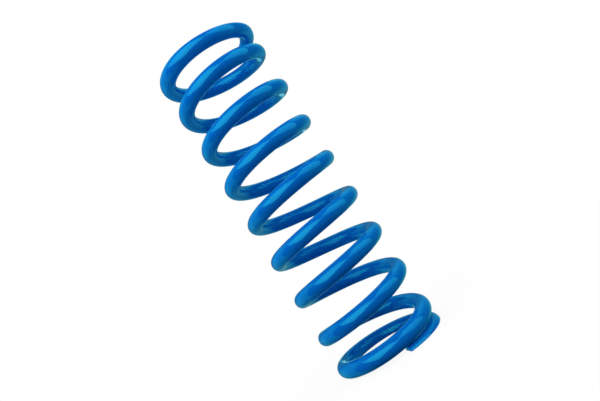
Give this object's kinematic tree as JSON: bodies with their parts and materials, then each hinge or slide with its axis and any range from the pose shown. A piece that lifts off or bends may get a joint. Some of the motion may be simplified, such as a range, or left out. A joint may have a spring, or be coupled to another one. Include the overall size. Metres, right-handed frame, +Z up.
{
  "type": "coilover spring",
  "caption": "Right-hand wound helical compression spring of round steel wire, painted gloss blue, with closed ends ground flat; it fits over a shock absorber and bears on its end seats.",
  "frame": {"origin": "centre of the lower ground seat, on the axis of the coil", "axes": "+Z up the coil's axis to the upper seat; +X and +Y across the coil, with the lower wire tip 77.6 degrees round from +X towards -Y"},
  "size_m": [0.0966, 0.0966, 0.2964],
  "materials": {
    "blue_paint": "gloss blue powder coat over spring steel"
  },
  "bodies": {
    "root": {"coil_spring": "blue_paint"}
  },
  "joints": []
}
